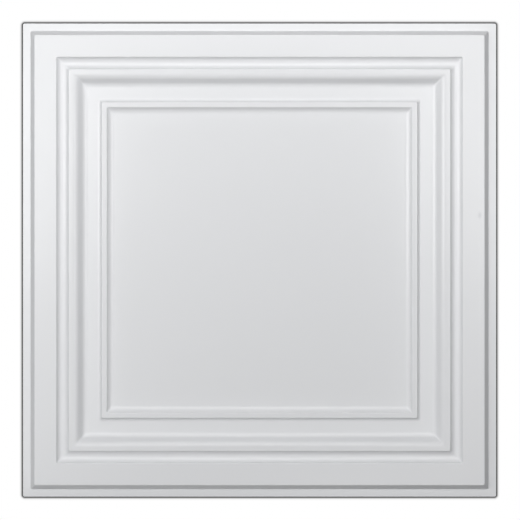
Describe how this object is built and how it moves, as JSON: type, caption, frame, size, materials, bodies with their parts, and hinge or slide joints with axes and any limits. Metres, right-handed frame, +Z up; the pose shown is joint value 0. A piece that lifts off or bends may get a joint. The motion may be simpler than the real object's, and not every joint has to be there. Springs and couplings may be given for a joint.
{
  "type": "pvc ceiling tile",
  "caption": "Square coffered lay-in ceiling tile formed from one white PVC sheet, with a stepped flange, grooved border, ogee, ridge and flat centre panel.",
  "frame": {"origin": "middle of the back of the centre panel, which is the face the tile lies on", "axes": "+Z up out of the decorated face, X and Y along the tile's sides"},
  "size_m": [0.6032, 0.6032, 0.0159],
  "materials": {
    "white_pvc": "satin"
  },
  "bodies": {
    "root": {"ceiling_tile": "white_pvc"}
  },
  "joints": []
}
